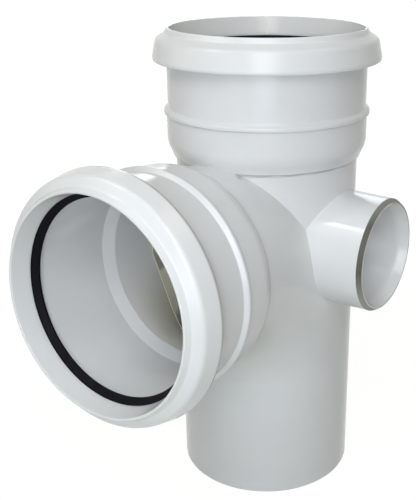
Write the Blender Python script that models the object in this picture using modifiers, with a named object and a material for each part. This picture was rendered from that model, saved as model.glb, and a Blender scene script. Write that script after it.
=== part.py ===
"""Soil pipe branch, 110 mm, ring seal.

A straight stack barrel stands on its plain spigot end. A swept branch leaves it towards -Y and rises a
little, and a plain boss for a waste pipe leaves it towards +X. The top of the stack and the end of the
branch each carry the same welded socket moulding with a rubber ring seal and a retaining cap over it.
The origin is under the middle of the bounding box, in the plane that the spigot stands on.
"""
import math

import bmesh
import bpy
from mathutils import Vector

# Pipe
pipe_diameter = 0.1100
pipe_wall = 0.0031

# Overall layout
stack_height = 0.2841
branch_height = 0.1568
branch_reach = 0.1557
branch_rise_deg = 2.5
boss_height = 0.1585
boss_reach = 0.0836

# Boss
boss_diameter = 0.0670
boss_bore = 0.0560
boss_draft_deg = 1.1
boss_lead_in_depth = 0.0017
boss_lead_in_width = 0.0022
boss_edge_bevel = 0.0008

# Swept branch
stub_straight = 0.0010
sweep_sink = 0.00015
sweep_tail = 0.0120

# Socket moulding
top_socket_length = 0.0751
branch_socket_length = 0.0726
socket_wall = 0.0037
socket_fit = 0.0005
lower_wall_step = 0.0008
bowl_length = 0.0100
bowl_edge_height = 0.0030
bowl_rise = 0.0018
stop_ring_below_lip = 0.0657
stop_ring_length = 0.0067
rib_below_lip = 0.0496
rib_thickness = 0.0028
rib_projection = 0.0026
pocket_depth = 0.0050
pocket_width = 0.0017

# Retaining cap
cap_length = 0.0185
cap_diameter = 0.1348
cap_taper = 0.0022
cap_round = 0.0030
shoulder_below_lip = 0.0067
shoulder_round = 0.0016
lip_step_below_lip = 0.0031
lip_step_diameter = 0.1206
lip_diameter = 0.1162
lip_round = 0.0009
lip_land = 0.0009
lip_flare_depth = 0.0045
lead_in_diameter = 0.1124
seal_below_lip = 0.0120

# Ring seal
seal_bore = 0.1030
seal_lip_drop = 0.0027
seal_lip_thickness = 0.0012
seal_face_diameter = 0.1112

# Clearances
seat_gap = 0.0003

# Facets round each turned piece
segments = 64

pipe_radius = pipe_diameter / 2
bore_radius = pipe_radius - pipe_wall
socket_bore_radius = pipe_radius + socket_fit
socket_radius = socket_bore_radius + socket_wall
lower_radius = socket_radius + lower_wall_step
pocket_radius = socket_bore_radius + pocket_width
cap_radius = cap_diameter / 2
cap_mouth_radius = socket_radius + seat_gap
lip_radius = lip_diameter / 2
rise = math.radians(branch_rise_deg)
top_weld_height = stack_height - top_socket_length
branch_weld_reach = branch_reach - branch_socket_length

# The branch mouth leans, so its lowest point reaches furthest
branch_extent = branch_reach * math.cos(rise) + (lip_radius + lip_land / 2) * math.sin(rise)
stack_axis = Vector(((cap_radius - boss_reach) / 2, (branch_extent - cap_radius) / 2, 0.0))


def remove_all():
    for item in list(bpy.data.objects):
        bpy.data.objects.remove(item, do_unlink=True)
    for group in list(bpy.data.collections):
        bpy.data.collections.remove(group)


def new_collection(name):
    group = bpy.data.collections.new(name)
    bpy.context.scene.collection.children.link(group)
    return group


def new_material(name, colour, roughness, metallic=0.0):
    material = bpy.data.materials.new(name)
    material.use_nodes = True
    shader = material.node_tree.nodes["Principled BSDF"]
    shader.inputs["Base Color"].default_value = (*colour, 1.0)
    shader.inputs["Roughness"].default_value = roughness
    shader.inputs["Metallic"].default_value = metallic
    material.diffuse_color = (*colour, 1.0)
    return material


def turned(name, profile, group, ring):
    """A profile at +X turned about the object's Z axis. A ring's profile is a closed loop."""
    mesh = bpy.data.meshes.new(name)
    edges = [(i, i + 1) for i in range(len(profile) - 1)]
    if ring:
        edges.append((len(profile) - 1, 0))
    mesh.from_pydata([(r, 0.0, z) for r, z in profile], edges, [])
    piece = bpy.data.objects.new(name, mesh)
    group.objects.link(piece)
    screw = piece.modifiers.new("Turn", "SCREW")
    screw.axis = "Z"
    screw.angle = math.tau
    screw.steps = segments
    screw.render_steps = segments
    screw.use_merge_vertices = True
    screw.merge_threshold = 0.00001
    screw.use_smooth_shade = True
    return piece


def swept_tube(name, points, radius, group):
    """A round tube along a path, with its caps welded on, as a mesh."""
    curve = bpy.data.curves.new(name, "CURVE")
    curve.dimensions = "3D"
    curve.bevel_depth = radius
    curve.bevel_resolution = segments // 2 - 2
    curve.use_fill_caps = True
    spline = curve.splines.new("POLY")
    spline.points.add(len(points) - 1)
    for knot, point in zip(spline.points, points):
        knot.co = (*point, 1.0)
    guide = bpy.data.objects.new(name + "_path", curve)
    group.objects.link(guide)
    bpy.context.view_layer.update()
    depsgraph = bpy.context.evaluated_depsgraph_get()
    mesh = bpy.data.meshes.new_from_object(guide.evaluated_get(depsgraph))
    form = bmesh.new()
    form.from_mesh(mesh)
    bmesh.ops.remove_doubles(form, verts=form.verts, dist=0.00001)
    bmesh.ops.recalc_face_normals(form, faces=form.faces)
    form.to_mesh(mesh)
    form.free()
    piece = bpy.data.objects.new(name, mesh)
    piece.matrix_world = guide.matrix_world
    group.objects.link(piece)
    bpy.data.objects.remove(guide, do_unlink=True)
    return piece


def cylinder(name, radius, bottom, top, group):
    """A plain solid cylinder about the stack axis."""
    mesh = bpy.data.meshes.new(name)
    form = bmesh.new()
    bmesh.ops.create_cone(form, cap_ends=True, segments=segments, radius1=radius, radius2=radius, depth=top - bottom)
    bmesh.ops.translate(form, verts=form.verts, vec=(0.0, 0.0, (top + bottom) / 2))
    form.to_mesh(mesh)
    form.free()
    piece = bpy.data.objects.new(name, mesh)
    group.objects.link(piece)
    return piece


def combine(piece, other, operation):
    step = piece.modifiers.new(operation.title() + " " + other.name, "BOOLEAN")
    step.operation = operation
    step.object = other
    step.solver = "EXACT"


def hide_cutter(piece):
    piece.hide_render = True
    piece.display_type = "WIRE"


def sweep_path(start_reach, tail):
    """Centre line of the branch: out of the weld, round the sweep and down the stack axis."""
    outward = Vector((0.0, -math.cos(rise), math.sin(rise)))
    crossing = Vector((0.0, 0.0, branch_height))
    tangent = branch_weld_reach - seat_gap - stub_straight
    turn = math.pi / 2 - rise
    bend_radius = tangent / math.tan(turn / 2)
    centre = crossing + outward * tangent + Vector((0.0, -math.sin(rise), -math.cos(rise))) * bend_radius
    points = [crossing + outward * start_reach]
    steps = 14
    for i in range(steps + 1):
        angle = rise + turn * i / steps
        points.append(centre + Vector((0.0, math.sin(angle), math.cos(angle))) * bend_radius)
    points.append(points[-1] - Vector((0.0, 0.0, tail)))
    return points


def boss_profile():
    """Outside of the boss from its mouth face back into the barrel, about the boss axis."""
    half = boss_diameter / 2
    root = bore_radius / 2
    return [
        (0.0, boss_reach),
        (half - boss_edge_bevel, boss_reach),
        (half, boss_reach - 2 * boss_edge_bevel),
        (half + (boss_reach - root) * math.tan(math.radians(boss_draft_deg)), root),
        (0.0, root),
    ]


def boss_bore_profile():
    """The boss bore with its lead-in, run past the mouth face and into the stack bore."""
    half = boss_bore / 2
    overrun = 0.0020
    slope = boss_lead_in_width / boss_lead_in_depth
    return [
        (0.0, boss_reach + overrun),
        (half + boss_lead_in_width + slope * overrun, boss_reach + overrun),
        (half, boss_reach - boss_lead_in_depth),
        (half, bore_radius / 4),
        (0.0, bore_radius / 4),
    ]


def socket_profile(length):
    """Socket moulding, heights from its lip plane at zero down to its weld at -length."""
    rim = -(seal_below_lip + seat_gap)
    floor = rim - pocket_depth
    rib_low = -rib_below_lip
    rib_high = rib_low + rib_thickness
    corner = rib_thickness / 4
    rib_radius = socket_radius + rib_projection
    bowl_end = -top_socket_length
    bowl_start = bowl_end + bowl_length
    edge = bowl_end + bowl_edge_height
    weld = -length
    edge_radius = socket_radius - bowl_rise
    outer = [
        (socket_radius, rim),
        (socket_radius, rib_high),
        (rib_radius - corner, rib_high),
        (rib_radius, rib_high - corner),
        (rib_radius, rib_low + corner),
        (rib_radius - corner, rib_low),
        (lower_radius, rib_low),
        (lower_radius, bowl_start),
        ((lower_radius + edge_radius) / 2 + bowl_rise / 4, (bowl_start + edge) / 2),
    ]
    if weld < edge - bowl_edge_height / 2:
        outer += [
            (edge_radius, edge),
            ((edge_radius + pipe_radius) / 2 + socket_fit, edge - bowl_edge_height * 0.75),
            (pipe_radius + socket_fit, weld),
        ]
    else:
        outer += [(edge_radius, max(edge, weld + bowl_edge_height / 6)), (edge_radius - socket_fit, weld)]
    inner = [
        (bore_radius, weld),
        (bore_radius, -(stop_ring_below_lip + stop_ring_length)),
        (socket_bore_radius, -stop_ring_below_lip),
        (socket_bore_radius, floor),
        (pocket_radius, floor),
        (pocket_radius, rim),
    ]
    return outer + inner


def cap_profile():
    """Retaining cap, heights from its lip at zero down to its lower edge at -cap_length."""
    roof = -seal_below_lip
    shoulder_radius = cap_radius - cap_taper
    lead_radius = lead_in_diameter / 2
    step_radius = lip_step_diameter / 2
    return [
        (lip_radius + lip_round, -lip_round),
        (step_radius, -lip_step_below_lip),
        (shoulder_radius - shoulder_round, -shoulder_below_lip + shoulder_round / 4),
        (shoulder_radius, -shoulder_below_lip - shoulder_round),
        (cap_radius, -cap_length + cap_round),
        (cap_radius - cap_round * 0.3, -cap_length + cap_round * 0.3),
        (cap_radius - cap_round, -cap_length),
        (cap_mouth_radius, -cap_length),
        (cap_mouth_radius, roof),
        (lead_radius, roof),
        (lead_radius, -lip_flare_depth),
        (lip_radius - lip_round, -lip_round),
        (lip_radius - lip_land / 2, 0.0),
        (lip_radius + lip_land / 2, 0.0),
    ]


def seal_profile():
    """Ring seal in its pocket, with a lip that leans into the bore."""
    top = -(seal_below_lip + seat_gap)
    bottom = top - pocket_depth + seat_gap
    outside = pocket_radius - seat_gap
    face = seal_face_diameter / 2
    lip = seal_bore / 2
    return [
        (outside, top),
        (outside, bottom),
        (face, bottom),
        (lip, top - seal_lip_drop - seal_lip_thickness),
        (lip, top - seal_lip_drop),
        (face, top),
    ]


def place(piece, frame, material):
    piece.parent = frame
    piece.data.materials.clear()
    piece.data.materials.append(material)


remove_all()
parts = new_collection("soil_pipe_branch")
cutters = new_collection("cutters")

white = new_material("white_upvc", (0.72, 0.74, 0.74), 0.22)
socket_white = new_material("socket_upvc", (0.72, 0.74, 0.75), 0.22)
cap_white = new_material("cap_upvc", (0.75, 0.77, 0.76), 0.20)
black = new_material("ring_seal_rubber", (0.012, 0.012, 0.016), 0.45)

# Empties carry the stack, the branch mouth and the boss
stack = bpy.data.objects.new("stack_axis", None)
stack.location = stack_axis
parts.objects.link(stack)

top_mouth = bpy.data.objects.new("top_mouth", None)
top_mouth.parent = stack
top_mouth.location = (0.0, 0.0, stack_height)
parts.objects.link(top_mouth)

branch_mouth = bpy.data.objects.new("branch_mouth", None)
branch_mouth.parent = stack
branch_mouth.rotation_euler = (math.pi / 2 - rise, 0.0, 0.0)
branch_mouth.location = (
    0.0,
    -branch_reach * math.cos(rise),
    branch_height + branch_reach * math.sin(rise),
)
parts.objects.link(branch_mouth)

boss_axis = bpy.data.objects.new("boss_axis", None)
boss_axis.parent = stack
boss_axis.rotation_euler = (0.0, math.pi / 2, 0.0)
boss_axis.location = (0.0, 0.0, boss_height)
parts.objects.link(boss_axis)

# Moulded body: barrel, swept branch and boss joined, then bored out
body = cylinder("branch_body", pipe_radius, 0.0, top_weld_height - seat_gap, parts)
stub_end = branch_weld_reach - seat_gap
sweep_outside = swept_tube("sweep_outside", sweep_path(stub_end, sweep_tail), pipe_radius - sweep_sink, cutters)
boss_outside = turned("boss_outside", boss_profile(), cutters, False)
stack_bore = cylinder("stack_bore", bore_radius, -0.010, stack_height, cutters)
sweep_bore = swept_tube("sweep_bore", sweep_path(stub_end + 0.005, sweep_tail), bore_radius - sweep_sink, cutters)
boss_bore_cut = turned("boss_bore_cut", boss_bore_profile(), cutters, False)
socket_seat = cylinder("socket_seat", socket_radius, top_weld_height - seat_gap, stack_height, cutters)
for tool in (sweep_outside, stack_bore, sweep_bore, socket_seat):
    tool.parent = stack
# The boss is turned half a facet, so that none of its edges meets an edge of the stack bore
for tool in (boss_outside, boss_bore_cut):
    tool.parent = boss_axis
    tool.rotation_euler.z = math.pi / segments
for tool in (sweep_outside, boss_outside, stack_bore, sweep_bore, boss_bore_cut, socket_seat):
    hide_cutter(tool)
combine(body, sweep_outside, "UNION")
combine(body, boss_outside, "UNION")
combine(body, socket_seat, "DIFFERENCE")
combine(body, stack_bore, "DIFFERENCE")
combine(body, sweep_bore, "DIFFERENCE")
combine(body, boss_bore_cut, "DIFFERENCE")
place(body, stack, white)

# The same turned parts serve the stack and the branch; the branch socket is trimmed at its weld
place(turned("top_socket", socket_profile(top_socket_length), parts, True), top_mouth, socket_white)
place(turned("branch_socket", socket_profile(branch_socket_length), parts, True), branch_mouth, socket_white)
place(turned("top_cap", cap_profile(), parts, True), top_mouth, cap_white)
place(turned("branch_cap", cap_profile(), parts, True), branch_mouth, cap_white)
place(turned("top_seal", seal_profile(), parts, True), top_mouth, black)
place(turned("branch_seal", seal_profile(), parts, True), branch_mouth, black)

bpy.context.view_layer.update()
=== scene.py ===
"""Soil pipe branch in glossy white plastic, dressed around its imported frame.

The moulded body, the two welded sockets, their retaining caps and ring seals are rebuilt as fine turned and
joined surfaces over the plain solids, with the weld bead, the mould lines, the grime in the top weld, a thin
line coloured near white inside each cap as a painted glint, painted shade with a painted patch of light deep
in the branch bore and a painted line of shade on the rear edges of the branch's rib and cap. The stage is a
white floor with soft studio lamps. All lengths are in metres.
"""

import math

import bmesh
import bpy
import numpy as np
from bpy.props import FloatProperty, FloatVectorProperty, IntProperty, PointerProperty
from bpy.types import Operator, Panel, PropertyGroup
from mathutils import Matrix, Vector


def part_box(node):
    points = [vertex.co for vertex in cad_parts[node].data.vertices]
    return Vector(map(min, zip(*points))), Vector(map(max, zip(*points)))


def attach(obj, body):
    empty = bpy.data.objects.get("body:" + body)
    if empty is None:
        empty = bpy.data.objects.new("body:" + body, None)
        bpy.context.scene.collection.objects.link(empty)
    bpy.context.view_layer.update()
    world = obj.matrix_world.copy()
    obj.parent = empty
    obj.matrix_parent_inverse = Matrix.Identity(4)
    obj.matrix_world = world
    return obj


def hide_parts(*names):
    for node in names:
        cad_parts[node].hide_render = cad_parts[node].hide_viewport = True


bl_info = {
    "name": "Soil Pipe Branch Looks",
    "version": (1, 0, 0),
    "blender": (4, 5, 0),
    "location": "3D View > Sidebar > Pipe Branch",
    "description": "Builds the dressed soil pipe branch and its studio",
    "category": "Object",
}

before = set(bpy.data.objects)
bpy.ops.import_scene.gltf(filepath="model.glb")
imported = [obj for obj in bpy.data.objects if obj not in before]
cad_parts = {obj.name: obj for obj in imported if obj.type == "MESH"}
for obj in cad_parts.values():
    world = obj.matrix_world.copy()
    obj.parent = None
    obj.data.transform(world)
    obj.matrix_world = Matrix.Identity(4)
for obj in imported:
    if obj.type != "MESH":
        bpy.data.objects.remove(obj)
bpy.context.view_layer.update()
CAP_LOW, CAP_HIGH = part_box("top_cap")
WELD_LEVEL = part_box("top_socket")[0].z
BOSS_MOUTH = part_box("branch_body")[1].x
STACK = Vector(((CAP_LOW.x + CAP_HIGH.x) / 2, (CAP_LOW.y + CAP_HIGH.y) / 2, 0.0))
PHOTO_WIDTH, PHOTO_HEIGHT = 416, 500


# ---------------------------------------------------------------------------------------------------------
# Sizes, colours and lamps that a user would change


def length(name, description, default):
    """A length in metres, shown in the scene's unit."""
    return FloatProperty(
        name=name,
        description=description,
        default=default,
        min=0.0,
        unit="LENGTH",
        subtype="DISTANCE",
        precision=5,
    )


def tilt(name, description, degrees):
    """An angle, given in degrees."""
    angle = math.radians(degrees)
    return FloatProperty(name=name, description=description, default=angle, unit="ROTATION", subtype="ANGLE")


def facet_count(description, default):
    return IntProperty(name="Facets", description=description, default=default, min=32, max=400)


def tint(name, description, default):
    """A surface or lamp colour."""
    return FloatVectorProperty(
        name=name, description=description, default=default, min=0.0, max=1.0, size=3, subtype="COLOR"
    )


def share(name, description, default, high=1.0):
    """A plain number such as a roughness or an amount."""
    return FloatProperty(name=name, description=description, default=default, min=0.0, max=high)


class PIPEBRANCH_PG_body(PropertyGroup):
    pipe_radius: length("Pipe radius", "Outside radius of the stack and the branch", 0.0550)
    bore_radius: length("Bore radius", "Inside radius of the stack and the branch", 0.0519)
    weld_height: length("Top weld height", "Height of the weld under the top socket", WELD_LEVEL)
    stub_reach: length("Branch weld reach", "Branch weld from the stack axis, along the branch", 0.0831)
    seam_gap: length("Seam width", "Width of the seam at the branch weld", 0.0003)
    branch_height: length("Branch height", "Height at which the branch axis meets the stack axis", 0.1568)
    rise: tilt("Branch rise", "Rise of the branch", 2.5)
    sink: length("Sweep sink", "How much smaller the sweep is than the barrel", 0.00015)
    boss_height: length("Boss height", "Height of the boss axis", 0.1585)
    boss_reach: length("Boss reach", "Boss mouth from the stack axis", BOSS_MOUTH - STACK.x)
    boss_radius: length("Boss radius", "Outside radius of the boss at its mouth", 0.0335)
    boss_bore: length("Boss bore radius", "Inside radius of the boss", 0.0280)
    boss_lead_depth: length("Boss lead-in depth", "Depth of the lead-in at the boss mouth", 0.0060)
    boss_lead_width: length("Boss lead-in width", "Width of the lead-in at the boss mouth", 0.0028)
    boss_lip_width: length("Boss lip width", "Flat lip between the lead-in and the chamfer", 0.0010)
    boss_fall: length("Boss chamfer length", "How far the chamfer runs back from the mouth", 0.0026)
    boss_draft: tilt("Boss draft", "Draft of the boss", 1.1)
    rim_round: length("Rim rounding", "Rounding of the cut pipe ends", 0.0004)
    boss_round: length("Boss rim rounding", "Rounding of the boss mouth outside", 0.0005)
    facets: facet_count("Facets round the barrel", 240)


class PIPEBRANCH_PG_socket(PropertyGroup):
    bore_radius: length("Socket bore radius", "Inside radius that holds the pipe", 0.0555)
    radius: length("Socket radius", "Outside radius of the socket wall", 0.0592)
    top_length: length("Top socket length", "Lip plane to weld on the stack", CAP_HIGH.z - WELD_LEVEL)
    branch_length: length("Branch socket length", "Lip plane to weld on the branch", 0.0726)
    branch_reach: length("Branch reach", "Branch lip plane from the stack axis", 0.1557)
    bowl_length: length("Bowl length", "Length of the rounded lower end", 0.0100)
    bowl_edge: length("Bowl edge height", "Height of the tight curve above the weld", 0.0030)
    bowl_rise: length("Bowl rise", "How far the bowl draws in", 0.0018)
    lower_step: length("Lower wall step", "How much thicker the wall is below the rib", 0.0008)
    ring_drop: length("Stop ring depth", "Stop ring below the lip plane", 0.0657)
    ring_length: length("Stop ring length", "Length of the sloping stop ring", 0.0067)
    rib_drop: length("Rib depth", "Lower side of the rib below the lip plane", 0.0496)
    rib_thickness: length("Rib thickness", "Thickness of the rib", 0.0028)
    rib_projection: length("Rib projection", "How far the rib stands out", 0.0023)
    rib_slope: length("Rib slope", "How far the side of the rib that looks to the mouth runs out", 0.0012)
    pocket_depth: length("Pocket depth", "Depth of the seal pocket", 0.0050)
    pocket_width: length("Pocket width", "Width of the seal pocket", 0.0017)
    corner_round: length("Corner rounding", "Rounding of the rib and of small corners", 0.0010)
    facets: facet_count("Facets round each turned piece", 224)


class PIPEBRANCH_PG_cap(PropertyGroup):
    radius: length("Cap radius", "Largest radius, near the lower edge", 0.0674)
    height: length("Cap height", "Lip plane to lower edge", 0.0185)
    taper: length("Cap taper", "How much the side draws in towards the shoulder", 0.0022)
    edge_round: length("Edge rounding", "Rounding of the lower edge", 0.0030)
    shoulder_drop: length("Shoulder depth", "Shoulder below the lip plane", 0.0067)
    shoulder_round: length("Shoulder rounding", "Rounding of the shoulder", 0.0040)
    step_round: length("Step rounding", "Rounding at the foot of the lip", 0.0016)
    step_drop: length("Step depth", "Foot of the lip below the lip plane", 0.0031)
    step_radius: length("Step radius", "Radius at the foot of the lip", 0.0603)
    lip_radius: length("Lip radius", "Radius of the lip's crest", 0.0577)
    lip_round: length("Lip rounding", "Half thickness of the rounded lip", 0.0006)
    lead_radius: length("Lead-in radius", "Inside radius below the lead-in", 0.0554)
    flare_depth: length("Flare depth", "Depth of the lead-in", 0.0105)
    seal_drop: length("Seal depth", "Seal below the lip plane", 0.0120)


class PIPEBRANCH_PG_seal(PropertyGroup):
    bore_radius: length("Seal bore radius", "Inside radius at the seal's lip", 0.0524)
    face_radius: length("Seal face radius", "Radius where the lip starts", 0.0552)
    lip_drop: length("Seal lip drop", "How far the lip leans inwards and down", 0.0027)
    lip_thickness: length("Seal lip thickness", "Thickness of the lip", 0.0012)
    clearance: length("Seal clearance", "Play between the seal and its pocket", 0.0003)


class PIPEBRANCH_PG_trim(PropertyGroup):
    bead_radius: length("Weld bead radius", "Mean half thickness of the weld bead", 0.00042)
    bead_unevenness: share("Weld bead unevenness", "How irregular the weld bead is", 0.75)
    parting_radius: length("Parting line radius", "Half thickness of the mould's parting line", 0.00022)
    parting_proud: length("Parting line height", "How far the parting line stands proud", 0.00007)
    core_radius: length("Core line radius", "Half thickness of the line left by the core", 0.00065)
    core_distance: length("Core line distance", "From the stack axis, at the core line level", 0.0675)
    core_level: length("Core line level", "Height at which that distance holds", 0.1300)
    core_limit: length("Core line limit", "Farthest that the core line runs from the stack axis", 0.0722)
    core_slope: share("Core line slope", "How fast the core line moves out as it rises", 0.28)
    # Painted light: depth of the pale patch of light in the branch bore.
    light_patch_drop: length("Patch depth", "Middle of the pale patch below the branch axis", 0.0360)
    # Half thickness of the thin line inside each cap that carries a painted glint.
    glint_line_radius: length("Cap line radius", "Half thickness of the mould line inside each cap", 0.00050)


class PIPEBRANCH_PG_finish(PropertyGroup):
    body_colour: tint("Body colour", "White plastic of the body", (0.800, 0.810, 0.820))
    socket_colour: tint("Socket colour", "White plastic of the sockets", (0.800, 0.810, 0.820))
    cap_colour: tint("Cap colour", "White plastic of the caps", (0.830, 0.840, 0.840))
    # Painted glint: the near-white colour of the thin line inside each cap.
    glint_line_colour: tint("Cap line colour", "Mould line inside each cap", (0.985, 0.990, 0.995))
    rubber_colour: tint("Rubber colour", "Black rubber of the seals", (0.004, 0.004, 0.007))
    # Dark olive colour laid on the boss mouth's chamfer, darkest on its upper part and paler low down.
    chamfer_dark_colour: tint("Chamfer colour", "Dull, darkened chamfer of the boss mouth", (0.090, 0.088, 0.070))
    chamfer_pale_colour: tint("Lower chamfer colour", "The same chamfer at its lower end", (0.340, 0.340, 0.290))
    lip_shade: share("Boss lip darkening", "How much of that the far side of the boss lip takes", 0.75)
    plastic_roughness: share("Plastic roughness", "Roughness of the glossy plastic", 0.17)
    plastic_shine: share("Plastic shine", "Specular level of the glossy plastic", 0.40)
    rubber_roughness: share("Rubber roughness", "Roughness of the rubber", 0.50)
    rubber_shine: share("Rubber shine", "Specular level of the rubber", 0.06)
    # Painted shade: the olive colour on the bore behind the core line of the branch.
    bore_shade_colour: tint("Film colour", "Olive film behind the core line of the branch", (0.400, 0.395, 0.300))
    # Painted light: the paler patch of light half way up that painted shade.
    bore_light_colour: tint("Pale film colour", "Paler patch half way up that film", (0.970, 0.945, 0.800))
    # A brown tone on the bore beside the core line, fading out towards the mouth.
    brown_tone_colour: tint("Stain colour", "Brown stain from the film along the bore", (0.640, 0.560, 0.340))
    brown_tone_amount: share("Stain amount", "How strong that stain is next to the film", 0.50)
    core_colour: tint("Core line colour", "Edge left by the core in the branch bore", (0.860, 0.820, 0.620))
    # How strong the painted shade behind the core line is.
    bore_shade_amount: share("Film amount", "How much of the film there is", 0.95)
    # The grime colour also paints the line of shade on the rear edges of the branch's rib and cap.
    grime_and_shade_colour: tint("Grime colour", "Fine grime in the weld under the top socket", (0.300, 0.300, 0.250))
    grime_amount: share("Grime amount", "How much of that grime there is", 0.55)
    # Painted shade: how dark the line painted on the rear edges of the branch's rib and cap is.
    edge_shade_amount: share("Edge grime amount", "How dark the rear edges of the branch's rib and cap are", 0.60)
    cut_roughness: share("Chamfer roughness", "Roughness of the boss mouth's chamfer", 0.55)
    cloud_amount: share("Clouding", "Faint uneven tone in the plastic", 0.035)
    speck_amount: share("Specks", "Tiny dark specks in the plastic", 0.20)
    scuff_amount: share("Scuffs", "Fine rub marks in the gloss", 0.03)
    dust_amount: share("Dust", "Fine dust on faces that look upwards", 0.015)


class PIPEBRANCH_PG_studio(PropertyGroup):
    key_power: share("Key power", "Large soft lamp on the right of the camera, in watts", 3.4, 500.0)
    high_power: share("High power", "Soft lamp close by above the camera, in watts", 0.62, 500.0)
    top_power: share("Top power", "Soft lamp close by overhead, in watts", 0.45, 500.0)
    flash_low_power: share("Lower flash power", "Small lamp just below the camera, in watts", 0.48, 500.0)
    flash_high_power: share("Upper flash power", "Small lamp just above the camera, in watts", 0.26, 500.0)
    fill_power: share("Fill power", "Broad soft lamp behind the camera, in watts", 2.2, 500.0)
    strip_power: share("Strip power", "Narrow upright lamp behind the camera, in watts", 0.72, 500.0)
    rear_power: share("Rear power", "Soft lamp straight behind the part, in watts", 6.0, 500.0)
    back_power: share("Back power", "Soft lamp high behind the part, in watts", 2.0, 500.0)
    side_power: share("Side power", "Soft lamp close by, upper left of the branch, in watts", 0.24, 500.0)
    left_power: share("Left power", "Soft lamp low on the far left, in watts", 0.50, 500.0)
    low_power: share("Low power", "Large soft lamp low in front, in watts", 1.7, 500.0)
    streak_power: share("Streak power", "Small lamp for the streak along the boss, in watts", 1.0, 500.0)
    cool_colour: tint("Cool colour", "Key, high, rear and streak lamps", (0.88, 0.94, 1.00))
    blue_colour: tint("Blue colour", "Top lamp, lower flash and low lamp", (0.75, 0.85, 1.00))
    warm_colour: tint("Warm colour", "Upper flash, fill and strip lamps", (1.00, 0.93, 0.87))
    straw_colour: tint("Straw colour", "Back, side and left lamps", (1.00, 0.94, 0.66))
    room_colour: tint("Room colour", "Colour of the light from all round", (0.98, 1.00, 0.92))
    room_strength: share("Room strength", "Strength of the light from all round", 0.02, 5.0)
    floor_colour: tint("Floor colour", "Colour of the floor", (0.60, 0.61, 0.53))
    floor_size: length("Floor size", "Half width of the floor", 6.0)


# ---------------------------------------------------------------------------------------------------------
# Placing and meshing

FLOOR_DROP = 0.0002  # the floor under the spigot end
HIDDEN_RISE = 0.0042  # the barrel's hidden end above the top weld
HIDDEN_TAPER = (0.0014, 0.0006)  # in and down at that end
WELD_EASE = 0.0002  # the bore's widening starts this far below the top weld
BORE_EASE = 0.0008  # how much wider the bore is there, and a socket's hidden tongue
BORE_PAST = 0.010  # how far the stack bore's cutter runs past both ends
BRANCH_PAST = 0.005  # the same at the branch weld
MOUTH_PAST = 0.002  # the same at the boss mouth
BEND_TAIL = 0.012  # straight end of the sweep below the bend, inside the stack
BEND_STEPS = 44
BEND_START = 0.0010  # from the end of the stub to the bend
BOSS_FACETS = 192
BOSS_LEAD_ROUND = 0.0110
FINE_ROUND = 0.0003
SOFT_ROUND = 0.02
LEAST_TURN = 0.01  # an outline's corner that turns less stays sharp, in radians
MOST_REACH = 0.48  # of a stretch, taken by the rounding at one end
ROUND_STEP = math.radians(11)
SHARP_TURN = math.radians(24)
LEAST_FACING = 0.9  # between a face and the true surface that it lies on
MOST_OFF = 0.00006  # a corner farther than this from a true surface doesn't take its normal
BORE_OFF = 0.0003  # the same for a face that takes the bore's material
FEWEST_FACES = 1000  # fewer mean that the joining failed


def keep_piece(piece, slot, *nodes):
    """The piece rides on the part and stands for the named solids, which it hides. The slot is not used."""
    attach(piece, "root")
    if nodes:
        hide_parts(*nodes)


def link_mesh(name, mesh, material):
    piece = bpy.data.objects.new(name, mesh)
    bpy.context.scene.collection.objects.link(piece)
    mesh.materials.clear()
    mesh.materials.append(material)
    return piece


def smooth(mesh):
    mesh.polygons.foreach_set("use_smooth", np.ones(len(mesh.polygons), bool))


def read(items, key, width=1, kind=float):
    """One attribute of a mesh's items, as an array with a row for each item."""
    values = np.zeros(len(items) * width, kind)
    items.foreach_get(key, values)
    return values.reshape(-1, width) if width > 1 else values


def drop(thing):
    mesh = thing.data
    bpy.data.objects.remove(thing, do_unlink=True)
    if mesh.users == 0:
        bpy.data.meshes.remove(mesh)


def outline(corners, closed=True):
    """Rounds the (radius, height, rounding) corners of an outline that runs clockwise in the +X half plane.

    Each point comes with the surface normal just before it and just after it, so that plain and rounded
    stretches shade exactly.
    """
    points = []
    count = len(corners)
    for i, (radius, height, rounding) in enumerate(corners):
        here = Vector((radius, height))
        before = Vector(corners[i - 1][:2])
        after = Vector(corners[(i + 1) % count][:2])
        if not closed and i == 0:
            before = here - (after - here)
        if not closed and i == count - 1:
            after = here + (here - before)
        a = (here - before).normalized()
        b = (after - here).normalized()
        turn = math.atan2(a.x * b.y - a.y * b.x, a.dot(b))
        normal_a = Vector((-a.y, a.x))
        normal_b = Vector((-b.y, b.x))
        if rounding <= 0.0 or abs(turn) < LEAST_TURN:
            points.append((here, normal_a, normal_b))
            continue
        reach = rounding * math.tan(abs(turn) / 2)
        reach = min(reach, MOST_REACH * (here - before).length, MOST_REACH * (after - here).length)
        bend = reach / math.tan(abs(turn) / 2)
        start = here - a * reach
        centre = start + normal_a * math.copysign(bend, turn)
        arm = start - centre
        steps = max(3, math.ceil(abs(turn) / ROUND_STEP))
        for k in range(steps + 1):
            spin = Matrix.Rotation(turn * k / steps, 2)
            normal = spin @ normal_a
            points.append((centre + spin @ arm, normal, normal))
    return points


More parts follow.
